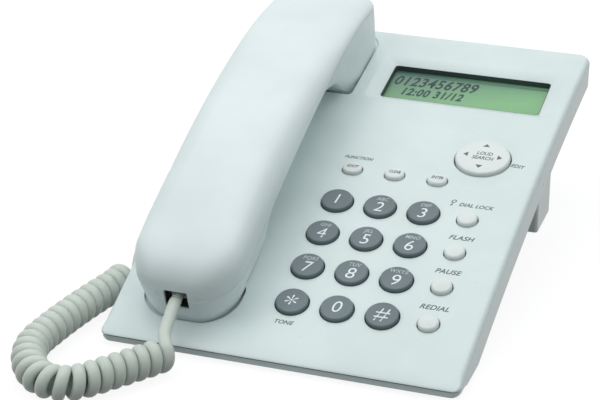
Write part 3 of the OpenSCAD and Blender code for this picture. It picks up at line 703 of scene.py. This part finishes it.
def dome(name, rings, top, matrix, sharp):
    """A closed dome: rings, and a cap across the first and the last of them.

    A cap is a grid between the two halves of its ring, at the height top(x, u).
    """
    points = [np.concatenate(rings)]
    count = len(rings[0])
    total = len(rings) * count
    faces = strip_faces(len(rings), count)
    for start, height in ((0, lambda x, u: shell_joint(u)), (total - count, top)):
        ring = points[0][start : start + count]
        right = ring[1 : HALF_COUNT - 1]
        grid = np.empty((END_STEPS + 1, HALF_COUNT), int)
        grid[0] = start + np.arange(HALF_COUNT)
        grid[-1] = start + HALF_COUNT + END_STEPS - 2 + np.arange(HALF_COUNT, 0, -1)
        for k, share in enumerate(np.linspace(1, -1, END_STEPS + 1)[1:-1], 1):
            inner = np.stack([right[:, 0] * share, right[:, 1], right[:, 2]], axis=1)
            inner[:, 2] = height(inner[:, 0], inner[:, 1])
            grid[k, 0] = start + count - k
            grid[k, -1] = start + HALF_COUNT - 1 + k
            grid[k, 1:-1] = total + np.arange(len(inner))
            total += len(inner)
            points.append(inner)
        for near, far in zip(grid[:-1], grid[1:]):
            faces += [[near[i], near[i + 1], far[i + 1], far[i]] for i in range(HALF_COUNT - 1)]
    piece = make(name, moved(np.concatenate(points), matrix), faces, sharp)
    fix_outside(piece)
    return piece


def fix_outside(piece):
    """Turns all faces outwards."""
    work = bmesh.new()
    work.from_mesh(piece.data)
    bmesh.ops.recalc_face_normals(work, faces=work.faces)
    work.to_mesh(piece.data)
    work.free()


def jack_tool(name, size, inner, outer):
    corners = rounded_outline(size, 0.5, 3)
    matrix = handset_frame() @ Matrix.Translation(JACK_PLACE) @ turned("X", 90)
    return prism(name, [(corners, inner), (corners, outer)], matrix)


def jack_opening():
    return jack_tool("jack_opening", (9.6, 8.2), -14, 10)


def add_jack_liner():
    liner = jack_tool("socket_liner", (9.5, 8.1), -3, -0.5)
    cut(liner, [jack_tool("liner_room", (9.1, 7.7), -4, 1)])
    liner.data.materials.append(dark_plastic)
    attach(liner, "handset")


def add_handset():
    matrix = handset_frame()
    upper_steps = np.concatenate([[0, 0.004], np.linspace(0.015, 1, 26) ** 1.25])
    upper = dome("handset_upper", [upper_ring(t) for t in upper_steps], crown, matrix, 40)
    cut(upper, [jack_opening()], 40)
    upper.data.materials.append(handset_plastic)
    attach(upper, "handset")
    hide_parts("handset_upper_shell")

    lower_steps = np.concatenate([[0, 0.004], np.linspace(0.015, 1, 22) ** 1.25])
    lower = dome("handset_lower", [lower_ring(t) for t in lower_steps], underside, matrix, 40)
    tools = [jack_opening()]
    for k in range(7):
        reach, a = 0 if k == 6 else SOUND_RING, math.radians(60 * k)
        place = Matrix.Translation((reach * math.cos(a), SOUND_U + reach * math.sin(a), 0))
        tools.append(hole(f"sound_{k}", 1.1, matrix @ place, -6, 3, 0))
    for k in (-1, 0, 1):
        place = Matrix.Translation((VOICE_X + 2.6 * k, VOICE_U, 0))
        tools.append(hole(f"voice_{k}", 0.8, matrix @ place, -6, 3, 0))
    for u in SCREW_U:
        tools.append(hole(f"screw_{u}", 3.1, matrix @ Matrix.Translation((0, u, 0)), -6, 12, 0))
    cut(lower, tools, 40)
    lower.data.materials.append(handset_plastic)
    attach(lower, "handset")
    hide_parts("handset_lower_shell")


# --------------------------------------------------------------------- keys


FLANGE_LOW, FLANGE_HIGH = -4.1, -3.5
TOP_STEPS = 12


def key_profile(radius, rise, crown_height, fillet, steps):
    """A key's profile: flange, side and rounded rim, then a top that is dished or domed."""
    flange = radius + 0.9
    points = [(0, FLANGE_LOW), (flange, FLANGE_LOW), (flange, FLANGE_HIGH), (radius, FLANGE_HIGH)]
    points += arc((radius - fillet, rise - fillet), fillet, 0, 80, steps)
    inner = radius - fillet
    edge_r, edge_z = points[-1]
    for k in range(1, TOP_STEPS + 1):
        r = edge_r * (1 - k / TOP_STEPS)
        share = 1 - (r / inner) ** 2
        points.append((max(r, 0), edge_z + crown_height * share))
    return points


def top_height(profile, r):
    """Height of a key's top at the distance r from its middle."""
    top = sorted(profile[-TOP_STEPS - 1 :])
    return float(np.interp(r, [p[0] for p in top], [p[1] for p in top]))


INK_RISE = 0.03


def add_letters(
    name, text, size, place, matrix, surface, material, body, slant, bold, spacing=1.0, narrow=1.0
):
    """Thin letters that follow a surface: surface(x, y) is its height in the matrix's frame."""
    curve = bpy.data.curves.new(name, "FONT")
    curve.body = text
    curve.size = size
    curve.shear = slant
    curve.offset = bold
    curve.space_character = spacing
    curve.align_x = "CENTER"
    curve.align_y = "CENTER"
    curve.resolution_u = 6
    holder = bpy.data.objects.new(name, curve)
    bpy.context.scene.collection.objects.link(holder)
    bpy.context.view_layer.update()
    graph = bpy.context.evaluated_depsgraph_get()
    mesh = bpy.data.meshes.new_from_object(holder.evaluated_get(graph))
    bpy.data.objects.remove(holder)
    flat = np.array([v.co for v in mesh.vertices])[:, :2] * [narrow, 1] + place
    points = [(x, y, surface(x, y) + INK_RISE) for x, y in flat]
    placed = moved(points, matrix) * MM
    mesh.vertices.foreach_set("co", placed.reshape(-1))
    mesh.update()
    piece = bpy.data.objects.new(name, mesh)
    bpy.context.scene.collection.objects.link(piece)
    piece.data.materials.clear()
    piece.data.materials.append(material)
    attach(piece, body)
    return piece


DIGITS = ["1", "2", "3", "4", "5", "6", "7", "8", "9", "*", "0", "#"]
LETTERS = ["", "ABC", "DEF", "GHI", "JKL", "MNO", "PQRS", "TUV", "WXYZ", "", "", ""]


def add_number_keys():
    profile = key_profile(NUMBER_R, 1.6, -0.2, 0.55, 8)
    for k, node in enumerate(NUMBER_NODES):
        matrix = number_frame(k)
        key = revolved(f"cap_{node[4:]}", profile, matrix)
        key.data.materials.append(key_grey)
        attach(key, node)
        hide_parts(node)

        def surface(x, y):
            return top_height(profile, math.hypot(x, y))

        digit, letters = DIGITS[k], LETTERS[k]
        size, side, drop = (8.2, -0.2, -1.3) if letters else (8.2, -0.2, 0.0)
        if digit == "*":
            size, side, drop = 12.0, -0.9, -2.2
        if digit == "#":
            size, side, drop = 9.6, -0.3, 0.0
        digit_piece = add_letters(
            f"digit_{node[4:]}", digit, size, (side, drop), matrix, surface, legend_white, node, 0.12, -0.03
        )
        if letters:
            letter_piece = add_letters(
                f"letters_{node[4:]}", letters, 2.5, (0.2, 3.6), matrix, surface, legend_grey, node,
                0.2, 0.02, 1.05,
            )


def add_function_keys():
    profile = key_profile(FUNCTION_R, 1.7, 0.35, 0.9, 10)
    for k, node in enumerate(FUNCTION_NODES):
        key = revolved(f"cap_{node}", profile, function_frame(k), 72)
        key.data.materials.append(key_white)
        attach(key, node)
        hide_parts(node)


OVAL_EDGE, OVAL_TOP = 0.8, 1.8
OVAL_WORDS = [("EXIT", 0.95), ("CLEAR", 0.68), ("ENTER", 0.68)]


def add_oval_keys():
    for k, node in enumerate(OVAL_NODES):
        flange = oval_outline(OVAL, 0.8)
        layers = [(flange, FLANGE_LOW), (flange, FLANGE_HIGH), (oval_outline(OVAL, 0), FLANGE_HIGH)]
        for a in np.linspace(0, math.pi / 2, 9):
            inset, height = OVAL_EDGE * (1 - math.cos(a)), OVAL_EDGE * (1 + math.sin(a))
            layers.append((oval_outline(OVAL, -inset), height))
        for share in (0.4, 0.7, 0.9):
            height = 2 * OVAL_EDGE + 0.2 * (1 - (1 - share) ** 2)
            layers.append((oval_outline(OVAL, -OVAL_EDGE - 2.4 * share), height))
        key = prism(f"cap_{node}", layers, oval_frame(k), 40)
        key.data.materials.append(key_white)
        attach(key, node)
        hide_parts(node)
        word, narrow = OVAL_WORDS[k]
        piece = add_letters(
            f"word_{word.lower()}", word, 2.4, (0.1, 0.1), oval_frame(k), lambda x, y: OVAL_TOP,
            legend_dark, node, 0.2, 0.05, 1.0, narrow,
        )


NAVIGATION_TOP = 2.7
NAVIGATION_WORDS = [("upper_word", "LOUD", (0.5, 1.4)), ("lower_word", "SEARCH", (0.2, -1.7))]
ARROW = ((8.2, 0.0), (6.2, 1.5), (6.2, -1.5))


def add_navigation_key():
    radius, flange = NAVIGATION_R, NAVIGATION_R + 0.7
    points = [(0, -2.6), (2.4, -2.6), (2.4, -3.9), (flange, -3.9), (flange, -3.3), (radius, -3.2)]
    points += arc((radius - 1.0, 1.3), 1.0, 0, 62, 8)
    edge_r, edge_z = points[-1]

    def surface(x, y):
        return edge_z + (NAVIGATION_TOP - edge_z) * (1 - (math.hypot(x, y) / edge_r) ** 2)

    for k in range(1, 15):
        r = edge_r * (1 - k / 14)
        points.append((r, surface(r, 0)))
    key = revolved("cap_navigation", points, navigation_frame(), 128)
    key.data.materials.append(key_white)
    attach(key, "navigation_key")
    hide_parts("navigation_key")

    for name, word, place in NAVIGATION_WORDS:
        piece = add_letters(
            f"navigation_{name}", word, 3.0, place, navigation_frame(), surface, legend_dark,
            "navigation_key", 0.2, 0.06, 1.0, 0.8,
        )
    arrows = []
    faces = []
    for k in range(4):
        turn = math.radians(90 * k)
        for corner in ARROW:
            x = corner[0] * math.cos(turn) - corner[1] * math.sin(turn)
            y = corner[0] * math.sin(turn) + corner[1] * math.cos(turn)
            arrows.append((x, y, surface(x, y) + 0.04))
        faces.append([3 * k, 3 * k + 1, 3 * k + 2])
    piece = make("navigation_arrows", moved(arrows, navigation_frame()), faces)
    piece.data.materials.append(legend_dark)
    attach(piece, "navigation_key")


# ------------------------------------------------------------ words on face


def on_face(x, y):
    """Height of the face beside a place on it."""
    return -y * y / (2 * FACE_R)


def on_collar(x, y):
    """Height of the collar's slope round the four-way key, or of the face beyond it."""
    share = (COLLAR_REACH - math.hypot(x, y)) / (COLLAR_REACH - COLLAR_R)
    return max(on_face(x, y), COLLAR_FOOT + (COLLAR_TOP - COLLAR_FOOT) * share)


def add_face_words():
    words = [
        ("word_function", "FUNCTION", 2.5, oval_frame(0), (0.2, 8.0), 0.9),
        ("word_lock", "DIAL LOCK", 2.9, function_frame(0), (1.3, 8.7), 0.9),
        ("word_flash", "FLASH", 3.4, function_frame(1), (0.3, 8.6), 1.0),
        ("word_pause", "PAUSE", 3.4, function_frame(2), (0.0, 8.7), 1.0),
        ("word_redial", "REDIAL", 3.4, function_frame(3), (0.0, 8.6), 1.0),
        ("word_tone", "TONE", 2.7, number_frame(9), (-0.4, -10.4), 1.0),
        ("word_edit", "EDIT", 3.0, navigation_frame(), (14.7, -1.2), 0.8),
    ]
    for name, word, size, matrix, place, narrow in words:
        surface = on_collar if name == "word_edit" else on_face
        piece = add_letters(
            name, word, size, place, matrix, surface, legend_dark, "base", 0.3, 0.07, 1.05, narrow
        )


LOCK_SIGN_PLACE = (-8.3, 10.2)


def add_lock_sign():
    """A small key beside the word: a ring and a stem with a tooth."""
    steps = 20
    turn = 2 * np.pi * np.arange(steps) / steps
    ring = np.stack([np.cos(turn), np.sin(turn)], axis=1)
    stem = [(-0.2, -2.9), (0.2, -2.9), (0.2, -0.8), (-0.2, -0.8)]
    tooth = [(0.2, -2.5), (0.8, -2.5), (0.8, -2.1), (0.2, -2.1)]
    x, y = (np.concatenate([ring, ring * 0.6, stem, tooth]) + LOCK_SIGN_PLACE).T
    points = np.stack([x + 0.3 * (y - 9), y, INK_RISE + on_face(x, y)], axis=1)
    faces = strip_faces(2, steps) + [[40, 41, 42, 43], [44, 45, 46, 47]]
    sign = make("lock_sign", moved(points, function_frame(0)), faces)
    sign.data.materials.append(legend_dark)
    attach(sign, "base")


# ------------------------------------------------------------------ display


CRYSTAL_TOP = -4.6
EDGE_PLACE = (0, 10.4)


def display_crystal_painted_shade():
    """Liquid crystal: green, with painted shade of the deep recess: brighter towards the lower right, darker
    towards the upper left.
    """
    shader = Shader("display_crystal")
    separate = shader.tree.nodes.new("ShaderNodeSeparateXYZ")
    shader.tree.links.new(shader.place, separate.inputs["Vector"])
    mix = shader.tree.nodes.new("ShaderNodeMath")
    mix.operation = "MULTIPLY_ADD"
    mix.inputs[1].default_value = -3.6
    shader.tree.links.new(separate.outputs["Y"], mix.inputs[0])
    shader.tree.links.new(separate.outputs["X"], mix.inputs[2])
    spread = shader.tree.nodes.new("ShaderNodeMapRange")
    spread.inputs["From Min"].default_value = -0.31
    spread.inputs["From Max"].default_value = -0.16
    shader.tree.links.new(mix.outputs[0], spread.inputs["Value"])
    # painted shade: the ramp runs from dark green at the upper left, where the recess shades it, to bright
    # green at the lower right
    shader.colour(shader.ramp(spread.outputs["Result"], (0.07, 0.145, 0.14), (0.19, 0.44, 0.20), 0.05, 0.8))
    shader.roughness(shader.noise(300, 2), 0.3, 0.35)
    shader.bump(shader.noise(5000, 1), 0.000004, 0.2)
    return shader.material


def display_layers(grow, bottom, top):
    return [(display_outline(grow, 1.5), bottom), (display_outline(grow, 1.5), top)]


def add_display():
    matrix = display_frame()
    tray = prism("display_tray", display_layers(2.8, -8, -3), matrix)
    cut(tray, [prism("tray_room", display_layers(-0.4, -4.9, 0), matrix)])
    rim = prism("display_rim", display_layers(-0.1, -2.95, -2.1), matrix)
    cut(rim, [prism("rim_room", display_layers(-0.4, -4, 0), matrix)])
    for piece in (tray, rim):
        piece.data.materials.append(display_frame_grey)
        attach(piece, "base")
    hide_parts("display_holder")
    crystal = prism("display_crystal", display_layers(-0.5, -4.85, CRYSTAL_TOP), matrix)
    crystal.data.materials.append(display_crystal_painted_shade())
    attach(crystal, "base")
    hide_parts("display_panel", "display_window")
    strip = rounded_outline((69.0, 0.7), 0.3, 3) + EDGE_PLACE
    edge = prism("display_edge", [(strip, CRYSTAL_TOP + 0.01), (strip, CRYSTAL_TOP + 0.1)], matrix)
    edge.data.materials.append(moulded_plastic("display_edge", (0.16, 0.22, 0.20), roughness=0.35, vary=0.06))
    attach(edge, "base")
    ink = moulded_plastic("display_ink", (0.012, 0.04, 0.045), roughness=0.5, vary=0.1)
    for name, text, size, narrow, place in (
        ("display_digits", "0123456789", 10.0, 0.67, (-15.0, 4.8)),
        ("display_time", "12:00 31/12", 7.8, 0.66, (-14.7, -3.4)),
    ):
        piece = add_letters(
            name, text, size, place, matrix, lambda x, y: CRYSTAL_TOP, ink, "base", 0.25, 0.28, 1.12, narrow
        )


# --------------------------------------------------------------------- cord

CORD_WIDE, CORD_THIN = 4.9, 4.0
COIL_D = 13.5
COIL_ROUTE = [
    (-79.2, -60.5, 6.8), (-79.3, -65, 6.8), (-80.2, -70.5, 6.8), (-82.3, -79, 6.8), (-84.7, -89, 6.8),
    (-86.9, -100.5, 6.8), (-88.6, -112, 6.8), (-89.5, -122.4, 6.8), (-87.4, -132, 6.8), (-82.2, -140.7, 6.8),
    (-75.5, -146.2, 6.8), (-68.5, -147.6, 6.8), (-62.8, -145.2, 6.8), (-58, -140.2, 6.8),
    (-53.3, -134, 6.8), (-48.3, -127.4, 6.8), (-43.4, -120.8, 6.8), (-40.2, -116, 6.8),
]
COIL_TURNS = 27.58
COIL_START = math.pi / 2
STEP = 1.05
FINE_STEP = 0.05
BASE_EXIT = (-72.2, -41.8, 19.9)
HANDSET_LEAD = [
    (-39.2, -115.2, 12.0), (-40.5, -112.6, 13.2), (-41.2, -109.3, 14.6), (-41.5, -105.9, 16.1),
    (-41.8, -102.7, 17.5), (-42.1, -99.6, 18.7), (-42.4, -96.6, 19.4),
]


def evenly(route, spacing):
    """The same curve with its points at one spacing; columns after the third go with them."""
    length = np.concatenate([[0], np.cumsum(np.linalg.norm(np.diff(route[:, :3], axis=0), axis=1))])
    even = np.linspace(0, length[-1], int(round(length[-1] / spacing)) + 1)
    return np.stack([np.interp(even, length, column) for column in route.T], axis=1)


def smooth_route(route, spacing):
    """A smooth curve through the route's points, by Catmull-Rom spans, evenly spaced."""
    route = np.asarray(route, float)
    ends = np.concatenate([[2 * route[0] - route[1]], route, [2 * route[-1] - route[-2]]])
    t = np.linspace(0, 1, 60, endpoint=False)[:, None]
    spans = [
        0.5 * (2 * b + (c - a) * t + (2 * a - 5 * b + 4 * c - d) * t**2 + (3 * b - a - 3 * c + d) * t**3)
        for a, b, c, d in zip(ends[:-3], ends[1:-2], ends[2:-1], ends[3:])
    ]
    return evenly(np.concatenate(spans + [route[-1:]]), spacing)


def coil_round(route, turns, radius, start):
    """A coil round a level route: middle + r (cos a up - sin a side), a growing along it."""
    middle = smooth_route(route, FINE_STEP)
    along = np.gradient(middle, axis=0)
    along /= np.linalg.norm(along, axis=1)[:, None]
    side = np.cross(along, [0.0, 0.0, 1.0])
    angle = (start + 2 * np.pi * turns * np.linspace(0, 1, len(middle)))[:, None]
    return middle + radius * (np.cos(angle) * [0.0, 0.0, 1.0] - np.sin(angle) * side)


def bridge(a, a_along, b, b_along, pull):
    """A smooth curve from a to b with given directions (Hermite)."""
    t = np.linspace(0, 1, 80)[:, None]
    h = (2 * t**3 - 3 * t**2 + 1) * a + (t**3 - 2 * t**2 + t) * pull * a_along
    return h + (-2 * t**3 + 3 * t**2) * b + (t**3 - t**2) * pull * b_along


def unit(v):
    return v / np.linalg.norm(v)


def cord_path():
    """From the base's plug through the coil to the handset's, and where its wide side faces."""
    coil = coil_round(COIL_ROUTE, COIL_TURNS, (COIL_D - CORD_THIN) / 2, COIL_START)
    lead = smooth_route(HANDSET_LEAD, 0.2)
    first = bridge(np.array(BASE_EXIT), np.array([-1.0, 0, 0]), coil[0], unit(coil[1] - coil[0]), 20)
    last = bridge(coil[-1], unit(coil[-1] - coil[-2]), lead[0], unit(lead[1] - lead[0]), 6)
    middle = smooth_route(COIL_ROUTE, FINE_STEP)
    wide = [np.tile([0.0, -1.0, 0.0], (len(first) - 1, 1)), np.gradient(middle, axis=0) / FINE_STEP]
    wide += [np.tile([0.95, 0.3, 0.0], (len(last) - 2 + len(lead), 1))]
    route = np.concatenate([first[:-1], coil, last[1:-1], lead])
    both = evenly(np.concatenate([route, np.concatenate(wide)], axis=1), STEP)
    wide = [np.convolve(np.pad(both[:, k], 4, mode="edge"), np.ones(9) / 9, "valid") for k in (3, 4, 5)]
    return both[:, :3], np.stack(wide, axis=1)


def tube(path, wide, sides=16):
    """Oval rings round a path, their wide side along the given directions."""
    along = np.gradient(path, axis=0)
    along /= np.linalg.norm(along, axis=1)[:, None]
    wide = wide - along * (wide * along).sum(axis=1)[:, None]
    wide /= np.linalg.norm(wide, axis=1)[:, None]
    angles = (2 * np.pi * np.arange(sides) / sides)[None, :, None]
    thin = np.cross(along, wide)
    wide, thin = CORD_WIDE / 2 * wide, CORD_THIN / 2 * thin
    return path[:, None] + np.cos(angles) * wide[:, None] + np.sin(angles) * thin[:, None]


def add_cord():
    path, wide = cord_path()
    cord = loft("handset_cord", tube(path, wide), 60)
    cord.data.materials.append(cord_plastic)
    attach(cord, "base")
    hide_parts("cord_handset_lead", "cord_coil", "cord_base_lead")


add_cord()

# -------------------------------------------------------- kept CAD materials

KEPT = {
    "base_bottom_shell": housing, "desk_stand": housing, "battery_cover": housing, "rubber_feet": foot_rubber,
    "case_screws": steel, "handset_screws": steel, "key_board": board_green, "hook_board": board_green,
    "key_mat": mat_rubber, "navigation_pivot": dark_plastic, "hook_switch": key_white,
    "batteries": battery_jacket, "battery_contacts": steel, "ringer": dark_plastic,
    "line_jack": dark_plastic, "base_jack": dark_plastic, "handset_jack": dark_plastic,
    "base_plug": plug_clear, "handset_plug": cord_plastic, "receiver": dark_plastic,
    "microphone": steel, "balance_weight": iron,
}


def dress_kept_nodes():
    for name, material in KEPT.items():
        piece = nodes[name]
        piece.data.materials.clear()
        piece.data.materials.append(material)


# --------------------------------------------------------- room and lights


def seen_rays(tree):
    """1 where the camera looks, or a mirror or a clear piece shows what is behind it."""
    rays = tree.nodes.new("ShaderNodeLightPath")
    either = tree.nodes.new("ShaderNodeMath")
    either.operation = "MAXIMUM"
    any_of = tree.nodes.new("ShaderNodeMath")
    any_of.operation = "MAXIMUM"
    tree.links.new(rays.outputs["Is Camera Ray"], either.inputs[0])
    tree.links.new(rays.outputs["Is Glossy Ray"], either.inputs[1])
    tree.links.new(either.outputs[0], any_of.inputs[0])
    tree.links.new(rays.outputs["Is Transmission Ray"], any_of.inputs[1])
    return any_of.outputs[0]


FLOOR_REACH = 6000


def add_floor():
    """A floor that looks white, throws little light on the object and keeps its shadow."""
    points = [(x * FLOOR_REACH, y * FLOOR_REACH, 0) for x, y in ((-1, -1), (1, -1), (1, 1), (-1, 1))]
    floor = make("floor", points, [[0, 1, 2, 3]])
    material = bpy.data.materials.new("white_floor")
    material.use_nodes = True
    tree = material.node_tree
    tree.nodes.clear()
    output = tree.nodes.new("ShaderNodeOutputMaterial")
    plain = tree.nodes.new("ShaderNodeBsdfDiffuse")
    plain.inputs["Color"].default_value = (0.10, 0.10, 0.10, 1)
    faint = tree.nodes.new("ShaderNodeBsdfDiffuse")
    faint.inputs["Color"].default_value = (0.14, 0.14, 0.14, 1)
    glow = tree.nodes.new("ShaderNodeEmission")
    glow.inputs["Color"].default_value = (0.9, 0.9, 0.9, 1)
    seen = tree.nodes.new("ShaderNodeAddShader")
    mix = tree.nodes.new("ShaderNodeMixShader")
    tree.links.new(faint.outputs["BSDF"], seen.inputs[0])
    tree.links.new(glow.outputs["Emission"], seen.inputs[1])
    tree.links.new(seen_rays(tree), mix.inputs["Fac"])
    tree.links.new(plain.outputs["BSDF"], mix.inputs[1])
    tree.links.new(seen.outputs["Shader"], mix.inputs[2])
    tree.links.new(mix.outputs["Shader"], output.inputs["Surface"])
    floor.data.materials.append(material)


def add_lamp(name, place, size, power):
    """A square lamp that faces the origin."""
    data = bpy.data.lights.new(name, "AREA")
    data.shape = "SQUARE"
    data.size = size
    data.energy = power
    lamp = bpy.data.objects.new(name, data)
    lamp.location = place
    lamp.rotation_euler = (-Vector(place)).to_track_quat("-Z", "Y").to_euler()
    bpy.context.scene.collection.objects.link(lamp)


def add_room():
    """A pale room: what is seen or mirrored of it is white, and its light is weaker."""
    world = bpy.data.worlds.new("room")
    world.use_nodes = True
    tree = world.node_tree
    light = tree.nodes["Background"]
    light.inputs["Color"].default_value = (0.92, 1.0, 1.0, 1)
    light.inputs["Strength"].default_value = 0.46
    white = tree.nodes.new("ShaderNodeBackground")
    white.inputs["Color"].default_value = (1, 1, 1, 1)
    mix = tree.nodes.new("ShaderNodeMixShader")
    tree.links.new(seen_rays(tree), mix.inputs["Fac"])
    tree.links.new(light.outputs["Background"], mix.inputs[1])
    tree.links.new(white.outputs["Background"], mix.inputs[2])
    tree.links.new(mix.outputs["Shader"], tree.nodes["World Output"].inputs["Surface"])
    bpy.context.scene.world = world
    add_lamp("key_lamp", (-0.02, 0.35, 1.45), 1.8, 13.2)
    add_lamp("left_lamp", (-1.2, -0.5, 1.2), 1.2, 6)
    add_lamp("right_lamp", (1.6, -0.5, 0.9), 1.2, 2)


add_upper_housing()
add_joint_shadow_strip()
add_handset()
add_jack_liner()
add_number_keys()
add_function_keys()
add_oval_keys()
add_navigation_key()
add_face_words()
add_lock_sign()
add_display()
dress_kept_nodes()
add_floor()
add_room()

bpy.context.scene.view_settings.view_transform = "Standard"
